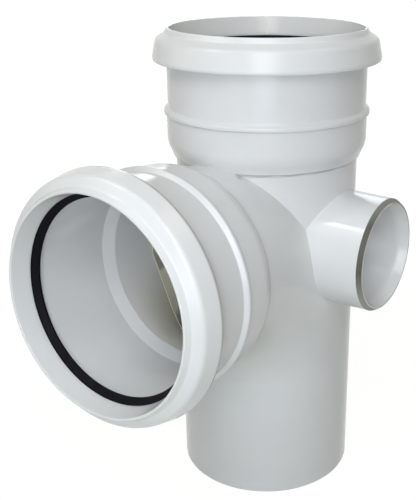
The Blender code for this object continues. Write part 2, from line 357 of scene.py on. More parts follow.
def turned_ring(name, points, place, facets, material):
    """Turns a closed outline about the Z axis of place, with exact normals."""
    count = len(points)
    angle = np.arange(facets) * math.tau / facets
    ring = np.stack([np.cos(angle), np.sin(angle)], axis=1)
    verts = np.zeros((count, facets, 3))
    for i, (point, _, _) in enumerate(points):
        verts[i, :, :2] = ring * point.x
        verts[i, :, 2] = point.y
    faces = []
    normals = []
    turned = {}
    for i, (_, normal_a, normal_b) in enumerate(points):
        for side, normal in (("before", normal_a), ("after", normal_b)):
            fan = np.zeros((facets, 3))
            fan[:, :2] = ring * normal.x
            fan[:, 2] = normal.y
            turned[i, side] = fan
    for i in range(count):
        k = (i + 1) % count
        high = turned[i, "after"]
        low = turned[k, "before"]
        for j in range(facets):
            m = (j + 1) % facets
            faces.append((i * facets + j, k * facets + j, k * facets + m, i * facets + m))
            normals += [high[j], low[j], low[m], high[m]]
    mesh = bpy.data.meshes.new(name)
    mesh.from_pydata(verts.reshape(-1, 3).tolist(), [], faces)
    smooth(mesh)
    mesh.transform(place)
    spin = np.array(place.to_3x3())
    mesh.normals_split_custom_set((np.array(normals) @ spin.T).tolist())
    return link_mesh(name, mesh, material)


def turned_solid(name, corners, place, facets):
    """A solid turned from the corners of an open outline whose two ends lie on the axis."""
    verts = []
    faces = []
    rings = [point for point, _, _ in outline(corners, closed=False) if point.x > 1e-7]
    for point in rings:
        for j in range(facets):
            angle = math.tau * j / facets
            verts.append((point.x * math.cos(angle), point.x * math.sin(angle), point.y))
    for i in range(len(rings) - 1):
        for j in range(facets):
            m = (j + 1) % facets
            faces.append((i * facets + j, (i + 1) * facets + j, (i + 1) * facets + m, i * facets + m))
    last = (len(rings) - 1) * facets
    faces.append(tuple(range(facets)))
    faces.append(tuple(last + j for j in reversed(range(facets))))
    mesh = bpy.data.meshes.new(name)
    mesh.from_pydata(verts, [], faces)
    mesh.transform(place)
    solid = bpy.data.objects.new(name, mesh)
    bpy.context.scene.collection.objects.link(solid)
    return solid


def tube_mesh(name, stations, facets, closed=False):
    """A tube through stations of (centre, across, upward, half width), with flat ends unless it is closed."""
    verts = []
    faces = []
    for centre, across, upward, radius in stations:
        for j in range(facets):
            angle = math.tau * j / facets
            verts.append(centre + across * (radius * math.cos(angle)) + upward * (radius * math.sin(angle)))
    count = len(stations)
    for i in range(count if closed else count - 1):
        k = (i + 1) % count
        for j in range(facets):
            m = (j + 1) % facets
            faces.append((i * facets + j, i * facets + m, k * facets + m, k * facets + j))
    if not closed:
        faces.append(tuple(reversed(range(facets))))
        faces.append(tuple((count - 1) * facets + j for j in range(facets)))
    mesh = bpy.data.meshes.new(name)
    mesh.from_pydata([tuple(v) for v in verts], [], faces)
    work = bmesh.new()
    work.from_mesh(mesh)
    bmesh.ops.recalc_face_normals(work, faces=work.faces)
    work.to_mesh(mesh)
    work.free()
    return mesh


def tube_piece(name, stations, facets, material, closed=False, place=None):
    mesh = tube_mesh(name, stations, facets, closed)
    smooth(mesh)
    if place is not None:
        mesh.transform(place)
    return link_mesh(name, mesh, material)


# ---------------------------------------------------------------------------------------------------------
# The swept branch


class Sweep:
    """Centre line of the swept branch about the stack axis: straight stub, bend, straight tail."""

    def __init__(self, body):
        self.rise = body.rise
        self.outward = Vector((0.0, -math.cos(body.rise), math.sin(body.rise)))
        self.upward = Vector((0.0, math.sin(body.rise), math.cos(body.rise)))
        self.crossing = Vector((0.0, 0.0, body.branch_height))
        self.tangent = body.stub_reach - body.seam_gap - BEND_START
        self.turn = math.pi / 2 - body.rise
        self.bend = self.tangent / math.tan(self.turn / 2)
        self.centre = self.crossing + self.outward * self.tangent - self.upward * self.bend

    def station(self, angle, radius):
        """Cross-section at an angle round the bend, 0 at the stub and self.turn at the stack axis."""
        a = self.rise + angle
        arm = Vector((0.0, math.sin(a), math.cos(a)))
        return (self.centre + arm * self.bend, Vector((1.0, 0.0, 0.0)), arm, radius)

    def solid(self, name, start_reach, radius, facets):
        """A solid of one radius along the whole sweep."""
        rows = [(self.crossing + self.outward * start_reach, Vector((1.0, 0.0, 0.0)), self.upward, radius)]
        rows += [self.station(self.turn * i / BEND_STEPS, radius) for i in range(BEND_STEPS + 1)]
        centre, across, arm, _ = rows[-1]
        rows.append((centre - Vector((0.0, 0.0, BEND_TAIL)), across, arm, radius))
        solid = bpy.data.objects.new(name, tube_mesh(name, rows, facets))
        bpy.context.scene.collection.objects.link(solid)
        return solid

    def surface(self, angle, spin, radius):
        """Point on the bend's surface and its normal."""
        centre, across, arm, _ = self.station(angle, radius)
        normal = across * math.cos(spin) + arm * math.sin(spin)
        return centre + normal * radius, normal

    def distance_and_normal(self, points):
        """Distance from the centre line and the direction away from it, for an array of points."""
        x = points[:, 0]
        y = points[:, 1] - self.centre.y
        z = points[:, 2] - self.centre.z
        round_bend = np.arctan2(y, z) - self.rise
        arm = np.stack([np.zeros_like(y), y, z], axis=1)
        reach = np.hypot(y, z)
        arm = arm / reach[:, None]
        away = np.stack([x, arm[:, 1] * (reach - self.bend), arm[:, 2] * (reach - self.bend)], axis=1)
        stub = points - np.array(self.crossing)
        along = stub @ np.array(self.outward)
        stub = stub - along[:, None] * np.array(self.outward)
        before = round_bend < 0.0
        away[before] = stub[before]
        beyond = round_bend > self.turn
        away[beyond] = points[beyond] * np.array([1.0, 1.0, 0.0])
        size = np.linalg.norm(away, axis=1)
        return size, away / size[:, None]


def body_surfaces(body):
    """The true surfaces of the body, each a function from points to distance and normal."""
    sweep = Sweep(body)

    def upright(radius):
        def measure(points):
            away = points * np.array([1.0, 1.0, 0.0])
            size = np.linalg.norm(away, axis=1)
            return np.abs(size - radius), away / size[:, None]

        return measure

    def swept(radius):
        def measure(points):
            size, normal = sweep.distance_and_normal(points)
            return np.abs(size - radius), normal

        return measure

    def level(radius, slope):
        def measure(points):
            away = (points - np.array([0.0, 0.0, body.boss_height])) * np.array([0.0, 1.0, 1.0])
            size = np.linalg.norm(away, axis=1)
            wanted = radius + (body.boss_reach - points[:, 0]) * slope
            normal = away / size[:, None] + np.array([slope, 0.0, 0.0])
            return np.abs(size - wanted), normal / np.linalg.norm(normal, axis=1)[:, None]

        return measure

    return [
        upright(body.pipe_radius),
        upright(body.bore_radius),
        swept(body.pipe_radius - body.sink),
        swept(body.bore_radius - body.sink),
        level(body.boss_radius, math.tan(body.boss_draft)),
        level(body.boss_bore, 0.0),
    ]


def true_normals(mesh, surfaces):
    """Gives each corner of a joined mesh the normal of the true surface that its face lies on."""
    smooth(mesh)
    mesh.set_sharp_from_angle(angle=SHARP_TURN)
    verts = read(mesh.vertices, "co", 3)
    corner_verts = read(mesh.loops, "vertex_index", kind=np.int32)
    normals = read(mesh.corner_normals, "vector", 3)
    face_normals = read(mesh.polygon_normals, "vector", 3)
    starts = read(mesh.polygons, "loop_start", kind=np.int32)
    totals = read(mesh.polygons, "loop_total", kind=np.int32)
    face_of = np.repeat(np.arange(len(totals)), totals)
    best = np.full(len(totals), MOST_OFF)
    for measure in surfaces:
        off, away = measure(verts)
        worst = np.maximum.reduceat(off[corner_verts], starts)
        corners = away[corner_verts]
        facing = np.sum(corners * face_normals[face_of], axis=1)
        least = np.minimum.reduceat(np.abs(facing), starts)
        better = (worst < best) & (least > LEAST_FACING)
        best = np.where(better, worst, best)
        chosen = better[face_of]
        normals[chosen] = corners[chosen] * np.sign(facing[chosen])[:, None]
    mesh.normals_split_custom_set(normals.tolist())


def bore_faces(mesh, body):
    """Which faces lie on the stack bore or the swept bore, while the mesh is still about the stack axis."""
    centres = read(mesh.polygons, "center", 3)
    _, upright, _, swept, _, _ = body_surfaces(body)
    return np.minimum(upright(centres)[0], swept(centres)[0]) < BORE_OFF


def join(target, tool, operation):
    step = target.modifiers.new(tool.name, "BOOLEAN")
    step.operation = operation
    step.object = tool
    step.solver = "EXACT"


def boss_lip(body):
    """Outside radius of the flat lip at the boss mouth, where the chamfer starts."""
    return body.boss_bore + body.boss_lead_width + body.boss_lip_width


def body_mesh(body):
    """Barrel, sweep and boss joined, then bored out, about the stack axis."""
    here = Matrix.Identity(4)
    sideways = Matrix.Translation((0.0, 0.0, body.boss_height)) @ Matrix.Rotation(math.pi / 2, 4, "Y")
    sideways = sideways @ Matrix.Rotation(math.pi / BOSS_FACETS, 4, "Z")
    sweep = Sweep(body)
    stub_end = body.stub_reach - body.seam_gap
    pipe, bore, mouth = body.pipe_radius, body.bore_radius, body.boss_reach
    top = body.weld_height + HIDDEN_RISE
    taper_in, taper_down = HIDDEN_TAPER
    barrel = turned_solid(
        "barrel",
        [
            (0.0, top, 0.0),
            (pipe - taper_in, top, 0.0),
            (pipe, top - taper_down, 0.0),
            (pipe, 0.0, body.rim_round),
            (0.0, 0.0, 0.0),
        ],
        here,
        body.facets,
    )
    swept = sweep.solid("swept", stub_end, pipe - body.sink, body.facets)
    root = bore / 2
    boss = turned_solid(
        "boss",
        [
            (0.0, mouth, 0.0),
            (boss_lip(body), mouth, FINE_ROUND),
            (body.boss_radius, mouth - body.boss_fall, body.boss_round),
            (body.boss_radius + (mouth - root) * math.tan(body.boss_draft), root, 0.0),
            (0.0, root, 0.0),
        ],
        sideways,
        BOSS_FACETS,
    )
    wide, foot = bore + BORE_EASE, bore + body.rim_round * 2
    ease = body.weld_height - WELD_EASE
    stack_bore = turned_solid(
        "stack_bore",
        [
            (0.0, top + BORE_PAST, 0.0),
            (wide, top + BORE_PAST, 0.0),
            (wide, ease + taper_down, 0.0),
            (bore, ease, 0.0),
            (bore, body.rim_round, 0.0),
            (foot, -body.rim_round, 0.0),
            (foot, -BORE_PAST, 0.0),
            (0.0, -BORE_PAST, 0.0),
        ],
        here,
        body.facets,
    )
    swept_bore = sweep.solid("swept_bore", stub_end + BRANCH_PAST, bore - body.sink, body.facets)
    widen = body.boss_lead_width / body.boss_lead_depth
    boss_bore = turned_solid(
        "boss_bore",
        [
            (0.0, mouth + MOUTH_PAST, 0.0),
            (body.boss_bore + body.boss_lead_width + widen * MOUTH_PAST, mouth + MOUTH_PAST, 0.0),
            (body.boss_bore, mouth - body.boss_lead_depth, BOSS_LEAD_ROUND),
            (body.boss_bore, bore / 4, 0.0),
            (0.0, bore / 4, 0.0),
        ],
        sideways,
        BOSS_FACETS,
    )
    for tool in (swept, boss):
        join(barrel, tool, "UNION")
    for tool in (stack_bore, swept_bore, boss_bore):
        join(barrel, tool, "DIFFERENCE")
    bpy.context.view_layer.update()
    depsgraph = bpy.context.evaluated_depsgraph_get()
    mesh = bpy.data.meshes.new_from_object(barrel.evaluated_get(depsgraph))
    for tool in (barrel, swept, boss, stack_bore, swept_bore, boss_bore):
        drop(tool)
    if len(mesh.polygons) < FEWEST_FACES:
        raise RuntimeError("the moulded body came out empty")
    true_normals(mesh, body_surfaces(body))
    return mesh


def socket_outline(body, socket, cap, seal, size):
    """Socket moulding below its lip plane, with a hidden tongue at the weld."""
    rim = -(cap.seal_drop + seal.clearance)
    floor = rim - socket.pocket_depth
    low = -socket.rib_drop
    high = low + socket.rib_thickness
    rib = socket.radius + socket.rib_projection
    lower = socket.radius + socket.lower_step
    pocket = socket.bore_radius + socket.pocket_width
    bottom = -socket.top_length
    bowl = bottom + socket.bowl_length
    edge = bottom + socket.bowl_edge
    edge_radius = socket.radius - socket.bowl_rise
    weld = -size
    tongue = weld - BORE_EASE
    ring_foot = -(socket.ring_drop + socket.ring_length)
    r = socket.corner_round
    corners = [
        (socket.radius, rim, 0.0004),
        (socket.radius, high + socket.rib_slope, r * 0.9),
        (rib, high - socket.rib_slope / 2, r * 1.1),
        (rib, low, r * 1.1),
        (lower, low, r * 0.6),
        (lower, bowl, SOFT_ROUND),
        ((lower + edge_radius) / 2 + socket.bowl_rise / 4, (bowl + edge) / 2, SOFT_ROUND),
    ]
    if weld < edge - socket.bowl_edge / 2:  # the whole bowl, as on the stack
        corners += [
            (edge_radius, edge, 0.0030),
            ((edge_radius + body.pipe_radius) / 2 + 0.0005, edge - socket.bowl_edge * 0.75, 0.0008),
            (body.pipe_radius + 0.0002, weld, 0.0002),
        ]
    else:  # a bowl cut short by the weld, as on the branch
        corners += [(edge_radius - 0.0003, weld, 0.0004)]
    corners += [
        (body.pipe_radius - BORE_EASE, weld, 0.0),
        (body.pipe_radius - BORE_EASE, tongue, 0.0),
        (body.bore_radius + BORE_EASE, tongue, 0.0),
        (body.bore_radius + BORE_EASE, weld, 0.0),
        (body.bore_radius, weld, 0.0002),
        (body.bore_radius, ring_foot, 0.0006),
        (socket.bore_radius, -socket.ring_drop, 0.0008),
        (socket.bore_radius, floor, FINE_ROUND),
        (pocket, floor, FINE_ROUND),
        (pocket, rim, FINE_ROUND),
    ]
    return outline(corners)


def cap_outline(socket, cap, seal):
    """Retaining cap below its lip plane."""
    roof = -cap.seal_drop
    shoulder = cap.radius - cap.taper
    mouth = socket.radius + seal.clearance
    return outline(
        [
            (cap.lip_radius + cap.lip_round, 0.0, cap.lip_round),
            (cap.step_radius - 0.0004, -cap.step_drop, cap.step_round),
            (shoulder, -cap.shoulder_drop + 0.0004, cap.shoulder_round),
            (cap.radius, -cap.height + cap.edge_round * 0.6, 0.006),
            (cap.radius - 0.0004, -cap.height, cap.edge_round),
            (mouth, -cap.height, FINE_ROUND),
            (mouth, roof, 0.0),
            (cap.lead_radius, roof, 0.0002),
            (cap.lead_radius, -cap.flare_depth, 0.0200),
            (cap.lip_radius - cap.lip_round, -0.0003, cap.lip_round),
        ]
    )


def seal_outline(socket, cap, seal):
    """Ring seal in its pocket, with its lip leaning into the bore."""
    top = -(cap.seal_drop + seal.clearance)
    bottom = top - socket.pocket_depth + seal.clearance
    outside = socket.bore_radius + socket.pocket_width - seal.clearance
    return outline(
        [
            (outside, top, FINE_ROUND),
            (outside, bottom, FINE_ROUND),
            (seal.face_radius, bottom, 0.0005),
            (seal.bore_radius, top - seal.lip_drop - seal.lip_thickness, 0.0005),
            (seal.bore_radius, top - seal.lip_drop, 0.0005),
            (seal.face_radius, top, 0.0008),
        ]
    )


def top_place():
    """The top lip plane, with the stack axis as Z."""
    return Matrix.Translation(STACK + Vector((0.0, 0.0, CAP_HIGH.z)))


def branch_place(body, socket):
    """The branch lip plane, with the branch axis as Z."""
    mouth = STACK + Sweep(body).crossing + Sweep(body).outward * socket.branch_reach
    return Matrix.Translation(mouth) @ Matrix.Rotation(math.pi / 2 - body.rise, 4, "X")


# ---------------------------------------------------------------------------------------------------------
# The fine lines, as stations of (centre, across, upward, half width)

CAP_LINE_STEPS = 12
CAP_LINE_SUNK = 0.45  # of its radius, into the wall
CAP_LINE_START = 0.0010  # below the lip plane
CAP_LINE_SPARE = 0.0012  # left free above the seal
CORE_STEPS = 180
CORE_SEARCH = 40
CORE_SUNK = 0.35  # of its radius, into the wall
PARTING_STEPS = 28
PARTING_SHARE = 0.62  # of the bend, from the branch weld
BEAD_STEPS = 420
# Share or height, waves round the barrel and phase
BEAD_WAVES = ((0.50, 5, 0.4), (0.35, 11, 2.1), (0.30, 23, 1.3), (0.25, 41, 0.2))
BEAD_LIFTS = ((0.0002, 7, 0.9), (0.00012, 29, 0.0))
BEAD_LEAST = 0.25
BEAD_OUT = 0.00005  # the bead's middle outside the barrel
BEAD_DROP = 0.0002  # the bead's middle under the top weld


def cap_line_stations(cap, trim, angle):
    """Thin line down the inside of a cap, from its lip to the seal, coloured near white as a painted glint.
    """
    out = Vector((math.cos(angle), math.sin(angle), 0.0))
    across = Vector((-math.sin(angle), math.cos(angle), 0.0))
    crest = cap.lip_radius - cap.lip_round
    stations = []
    for i in range(CAP_LINE_STEPS + 1):
        height = -CAP_LINE_START - (cap.seal_drop - CAP_LINE_SPARE) * (i / CAP_LINE_STEPS)
        slope = min(1.0, -height / cap.flare_depth)
        radius = crest + (cap.lead_radius - crest) * slope + trim.glint_line_radius * CAP_LINE_SUNK
        stations.append((out * radius + Vector((0.0, 0.0, height)), across, out, trim.glint_line_radius))
    return stations


def core_line_stations(body, trim):
    """Line that the core leaves in the branch bore. Its distance from the stack axis grows with height."""
    sweep = Sweep(body)
    inner = body.bore_radius - body.sink
    rows = []
    for i in range(CORE_STEPS):
        spin = math.tau * i / CORE_STEPS
        low, high = 0.0, sweep.turn
        for _ in range(CORE_SEARCH):
            middle = (low + high) / 2
            point, _ = sweep.surface(middle, spin, inner)
            border = trim.core_distance + trim.core_slope * (point.z - trim.core_level)
            if math.hypot(point.x, point.y) > min(border, trim.core_limit):
                low = middle
            else:
                high = middle
        rows.append(sweep.surface(low, spin, inner))
    stations = []
    for i, (point, normal) in enumerate(rows):
        along = (rows[(i + 1) % CORE_STEPS][0] - rows[i - 1][0]).normalized()
        across = along.cross(normal).normalized()
        centre = point + STACK + normal * trim.core_radius * CORE_SUNK
        stations.append((centre, across, normal, trim.core_radius))
    return stations


def parting_line_stations(body, trim, spin):
    """Line that the mould leaves along one side of the sweep."""
    sweep = Sweep(body)
    outer = body.pipe_radius - body.sink
    sunk = trim.parting_radius - trim.parting_proud
    stations = []
    for i in range(PARTING_STEPS + 1):
        angle = sweep.turn * PARTING_SHARE * i / PARTING_STEPS
        point, normal = sweep.surface(angle, spin, outer)
        _, _, arm, _ = sweep.station(angle, outer)
        stations.append((point + STACK - normal * sunk, normal, arm, trim.parting_radius))
    return stations


def waves(rows, angle):
    return sum(height * math.sin(count * angle + phase) for height, count, phase in rows)


def bead_stations(body, trim):
    """Uneven weld bead round the barrel, under the top socket."""
    stations = []
    for i in range(BEAD_STEPS):
        angle = math.tau * i / BEAD_STEPS
        radius = trim.bead_radius * max(BEAD_LEAST, 1.0 + trim.bead_unevenness * waves(BEAD_WAVES, angle))
        height = body.weld_height - BEAD_DROP + waves(BEAD_LIFTS, angle)
        out = Vector((math.cos(angle), math.sin(angle), 0.0))
        centre = STACK + out * (body.pipe_radius + BEAD_OUT) + Vector((0.0, 0.0, height))
        stations.append((centre, out, Vector((0.0, 0.0, 1.0)), radius))
    return stations


# ---------------------------------------------------------------------------------------------------------
# Nodes

COLOUR_A, COLOUR_B, COLOUR_OUT = 6, 7, 2  # a Mix node's sockets for colours
NUMBER_A, NUMBER_B, NUMBER_OUT = 2, 3, 0  # a Mix node's sockets for numbers
PALE = (0.8, 0.8, 0.8, 1.0)
WHITE = (1.0, 1.0, 1.0, 1.0)
MOST_GRAIN = 10000.0


def rgba(colour):
    return (*colour, 1.0)


def feed(tree, sockets, values):
    """Links each socket, by name or number, to a node's output, or sets a plain value on it."""
    for key, value in values.items():
        if isinstance(value, bpy.types.NodeSocket):
            tree.links.new(value, sockets[key])
        else:
            sockets[key].default_value = value


def feeding(socket):
    """What a socket is linked to so far, so that an effect can lie over it."""
    return socket.links[0].from_socket


def add_node(tree, kind, place, values=None, **settings):
    node = tree.nodes.new("ShaderNode" + kind)
    node.location = place
    for key, value in settings.items():
        setattr(node, key, value)
    feed(tree, node.inputs, values or {})
    return node


def maths(tree, operation, place, *values, clamp=False):
    values = dict(enumerate(values))
    return add_node(tree, "Math", place, values, operation=operation, use_clamp=clamp).outputs[0]


def product(tree, place, first, *others):
    """Several values multiplied one after another."""
    for i, other in enumerate(others):
        first = maths(tree, "MULTIPLY", (place[0] + 150 * i, place[1]), first, other)
    return first


def vectors(tree, operation, place, *values, out="Vector"):
    return add_node(tree, "VectorMath", place, dict(enumerate(values)), operation=operation).outputs[out]


def ranged(tree, value, place, low, high, to_low=0.0, to_high=1.0):
    """Takes low to to_low and high to to_high, and stays there beyond them."""
    values = {"Value": value, "From Min": low, "From Max": high, "To Min": to_low, "To Max": to_high}
    return add_node(tree, "MapRange", place, values, clamp=True).outputs["Result"]


def noise(tree, place, where, scale, detail, roughness=0.5):
    values = {"Vector": where, "Scale": scale, "Detail": detail, "Roughness": roughness}
    return add_node(tree, "TexNoise", place, values).outputs["Fac"]


def blended(tree, place, factor, first, second):
    """The first colour where the factor is 0 and the second where it is 1."""
    values = {"Factor": factor, COLOUR_A: first, COLOUR_B: second}
    return add_node(tree, "Mix", place, values, data_type="RGBA").outputs[COLOUR_OUT]


def stretched(tree, place, where, scale, rotation=(0.0, 0.0, 0.0)):
    values = {"Vector": where, "Scale": scale, "Rotation": rotation}
    return add_node(tree, "Mapping", place, values).outputs["Vector"]


def split(tree, place, vector):
    return add_node(tree, "SeparateXYZ", place, {"Vector": vector}).outputs


def object_point(tree, place):
    return add_node(tree, "TexCoord", place).outputs["Object"]


def new_group(name, inputs, outputs, half_width):
    """An empty node group with its sockets. Those whose name ends in Colour hold a colour."""
    group = bpy.data.node_groups.new(name, "ShaderNodeTree")
    for way, names in (("INPUT", inputs), ("OUTPUT", outputs)):
        for socket_name in names:
            kind = "NodeSocketColor" if socket_name.endswith("Colour") else "NodeSocketFloat"
            made = group.interface.new_socket(name=socket_name, in_out=way, socket_type=kind)
            if way == "INPUT":
                made.default_value = inputs[socket_name]
                if kind == "NodeSocketFloat":
                    made.min_value = 0.0
                    made.max_value = 1.0 if inputs[socket_name] <= 1.0 else MOST_GRAIN
    source = group.nodes.new("NodeGroupInput")
    result = group.nodes.new("NodeGroupOutput")
    source.location, result.location = (-half_width, 0), (half_width, 0)
    return group, source.outputs, result.inputs


# ---------------------------------------------------------------------------------------------------------
# Effects that several materials share


def moulded_tone_group():
    """Faint clouding, flow marks, specks and a very fine skin of injection moulded plastic."""
    name = "Moulded Tone"
    if name in bpy.data.node_groups:
        return bpy.data.node_groups[name]
    inputs = {"Colour": PALE, "Clouding": 0.04, "Specks": 0.3, "Roughness": 0.24, "Scuffs": 0.1}
    inputs["Grain Scale"] = 900.0
    group, source, result = new_group(name, inputs, ("Colour", "Roughness", "Height"), 1200)
    here = object_point(group, (-1200, -320))
    clouds = noise(group, (-900, 200), here, 16.0, 4.0, 0.55)
    flow = noise(group, (-680, -80), stretched(group, (-900, -80), here, (9.0, 9.0, 34.0)), 3.0, 3.0)
    uneven = maths(group, "ADD", (-460, 120), clouds, flow)
    uneven = maths(group, "SUBTRACT", (-300, 120), 1.0, uneven)
    uneven = maths(group, "MULTIPLY", (-140, 120), uneven, source["Clouding"])
    cells = {"Vector": here, "Scale": 62.0}
    cells = add_node(group, "TexVoronoi", (-680, -360), cells, feature="F1").outputs
    dot = ranged(group, cells["Distance"], (-460, -360), 0.022, 0.030, 1.0, 0.0)
    rare = {"Vector": cells["Position"]}
    rare = add_node(group, "TexWhiteNoise", (-460, -560), rare, noise_dimensions="3D").outputs["Value"]
    chosen = ranged(group, rare, (-260, -560), 0.93, 0.94)
    speck = product(group, (-60, -400), dot, chosen, source["Specks"])
    darker = maths(group, "ADD", (100, 120), uneven, speck)
    brightness = maths(group, "SUBTRACT", (260, 120), 1.0, darker)
    toned = {0: source["Colour"], "Scale": brightness}
    toned = add_node(group, "VectorMath", (460, 200), toned, operation="SCALE").outputs["Vector"]
    rub = stretched(group, (-900, -760), here, (18.0, 90.0, 18.0), (0.4, 0.2, 0.7))
    marks = ranged(group, noise(group, (-680, -760), rub, 2.0, 5.0), (-460, -760), 0.40, 0.80)
    marks = maths(group, "MULTIPLY", (-260, -760), marks, source["Scuffs"])
    roughness = maths(group, "ADD", (460, -120), source["Roughness"], marks, clamp=True)
    grain = noise(group, (-680, -1000), here, source["Grain Scale"], 3.0)
    feed(group, result, {"Colour": toned, "Roughness": roughness, "Height": grain})
    return group


def settled_dust_group():
    """Fine dust on faces that look upwards, as a paler tone and a duller gloss."""
    name = "Settled Dust"
    if name in bpy.data.node_groups:
        return bpy.data.node_groups[name]
    inputs = {"Colour": PALE, "Roughness": 0.3, "Amount": 0.03, "Dust Colour": (0.55, 0.53, 0.48, 1.0)}
    group, source, result = new_group(name, inputs, ("Colour", "Roughness"), 900)
    where = add_node(group, "TexCoord", (-900, -260)).outputs
    upward = ranged(group, split(group, (-700, -260), where["Normal"])["Z"], (-500, -260), 0.15, 0.95)
    grains = noise(group, (-700, -520), where["Object"], 240.0, 6.0)
    grains = ranged(group, grains, (-500, -520), 0.42, 0.66)
    mask = product(group, (-300, -320), upward, grains, source["Amount"])
    colour = blended(group, (120, 120), mask, source["Colour"], source["Dust Colour"])
    roughness = maths(group, "ADD", (120, -120), source["Roughness"], mask, clamp=True)
    feed(group, result, {"Colour": colour, "Roughness": roughness})
    return group


def weld_grime_group():
    """Fine grime caught in the weld under the top socket, with faint smudges beside it."""
    name = "Weld Grime"
    if name in bpy.data.node_groups:
        return bpy.data.node_groups[name]
    inputs = {"Colour": PALE, "Grime Colour": (0.35, 0.35, 0.30, 1.0), "Amount": 0.5}
    group, source, result = new_group(name, inputs, ("Colour",), 1100)
    here = object_point(group, (-1100, -300))
    place = split(group, (-900, -300), here)
    away = maths(group, "SUBTRACT", (-700, -240), place["Z"], WELD_LEVEL)
    away = maths(group, "ABSOLUTE", (-540, -240), away)
    line = ranged(group, away, (-360, -160), 0.0003, 0.0013, 1.0, 0.0)
    smudge = ranged(group, away, (-360, -360), 0.0010, 0.0060, 0.30, 0.0)
    patches = noise(group, (-700, -560), stretched(group, (-900, -560), here, (1.0, 1.0, 14.0)), 70.0, 4.0)
    broken = ranged(group, patches, (-500, -560), 0.36, 0.62)
    line = maths(group, "MULTIPLY", (-160, -160), line, broken)
    patchy = ranged(group, patches, (-500, -760), 0.50, 0.72)
    smudge = maths(group, "MULTIPLY", (-160, -360), smudge, patchy)
    mask = maths(group, "MAXIMUM", (0, -260), line, smudge)
    on_stack = ranged(group, place["Y"], (-360, 200), STACK.y - 0.0590, STACK.y - 0.0570)
    mask = product(group, (140, -200), mask, on_stack, source["Amount"])
    colour = blended(group, (460, 60), mask, source["Colour"], source["Grime Colour"])
    feed(group, result, {"Colour": colour})
    return group


def branch_reach_group(body, socket):
    """How deep below the branch lip plane a point lies, and how far from the branch axis."""
    name = "Branch Reach"
    if name in bpy.data.node_groups:
        return bpy.data.node_groups[name]
    group, _, result = new_group(name, {}, ("Depth", "Radius"), 800)
    mouth = branch_place(body, socket).translation
    shift = vectors(group, "SUBTRACT", (-600, 0), object_point(group, (-800, -120)), mouth)
    along = vectors(group, "DOT_PRODUCT", (-400, 100), shift, Sweep(body).outward, out="Value")
    square = vectors(group, "DOT_PRODUCT", (-400, -100), shift, shift, out="Value")
    rest = maths(group, "SUBTRACT", (0, -100), square, maths(group, "POWER", (-200, -20), along, 2.0))
    depth = maths(group, "MULTIPLY", (0, 100), along, -1.0)
    feed(group, result, {"Depth": depth, "Radius": maths(group, "SQRT", (200, -100), rest)})
    return group


# ---------------------------------------------------------------------------------------------------------
# Materials

GRAIN_DEPTH = 0.0001
PLASTIC_GRAIN = 700.0
RUBBER_GRAIN = 1600.0
PLASTIC_IOR = 1.53


def finish_material(
    name,
    colour,
    roughness,
    clouding=0.0,
    specks=0.0,
    scuffs=0.0,
    dust=0.0,
    grain=PLASTIC_GRAIN,
    bump=0.0,
    shine=0.5,
):
    """A Principled surface fed by the moulded tone and the settled dust."""
    if name in bpy.data.materials:
        return bpy.data.materials[name]
    material = bpy.data.materials.new(name)
    material.use_nodes = True
    material.diffuse_color = rgba(colour)
    tree = material.node_tree
    values = {"Colour": rgba(colour), "Clouding": clouding, "Specks": specks, "Roughness": roughness}
    values.update({"Scuffs": scuffs, "Grain Scale": grain})
    tone = add_node(tree, "Group", (-760, 120), node_tree=moulded_tone_group())
    feed(tree, tone.inputs, values)
    tone = tone.outputs
    powder = add_node(tree, "Group", (-500, 120), node_tree=settled_dust_group())
    feed(tree, powder.inputs, {"Amount": dust, "Colour": tone["Colour"], "Roughness": tone["Roughness"]})
    powder = powder.outputs
    skin = {"Strength": bump, "Distance": GRAIN_DEPTH, "Height": tone["Height"]}
    skin = add_node(tree, "Bump", (-500, -220), skin).outputs["Normal"]
    values = {"Base Color": powder["Colour"], "Roughness": powder["Roughness"], "Normal": skin}
    values.update({"Specular IOR Level": shine, "IOR": PLASTIC_IOR})
    feed(tree, tree.nodes["Principled BSDF"].inputs, values)
    return material


def plastic(finish, name, colour):
    return finish_material(
        name,
        colour,
        finish.plastic_roughness,
        clouding=finish.cloud_amount,
        specks=finish.speck_amount,
        scuffs=finish.scuff_amount,
        dust=finish.dust_amount,
        bump=0.05,
        shine=finish.plastic_shine,
    )


def glint_line_plastic(finish):
    """Near-white, smoother plastic on the thin line inside each cap: a painted glint."""
    return finish_material("witness_line_plastic", finish.glint_line_colour, finish.plastic_roughness / 2)


def seal_rubber(finish):
    return finish_material(
        "seal_black_rubber",
        finish.rubber_colour,
        finish.rubber_roughness,
        clouding=0.25,
        scuffs=0.15,
        dust=finish.dust_amount,
        grain=RUBBER_GRAIN,
        bump=0.15,
        shine=finish.rubber_shine,
    )


def with_weld_grime(material, finish):
    """Puts the weld grime over the colour that the material already has."""
    tree = material.node_tree
    if "weld_grime" in tree.nodes:
        return material
    shader = tree.nodes["Principled BSDF"].inputs
    grime = add_node(tree, "Group", (-60, 320), node_tree=weld_grime_group(), name="weld_grime")
    values = {"Grime Colour": rgba(finish.grime_and_shade_colour), "Amount": finish.grime_amount}
    feed(tree, grime.inputs, {"Colour": feeding(shader["Base Color"]), **values})
    feed(tree, shader, {"Base Color": grime.outputs["Colour"]})
    return material


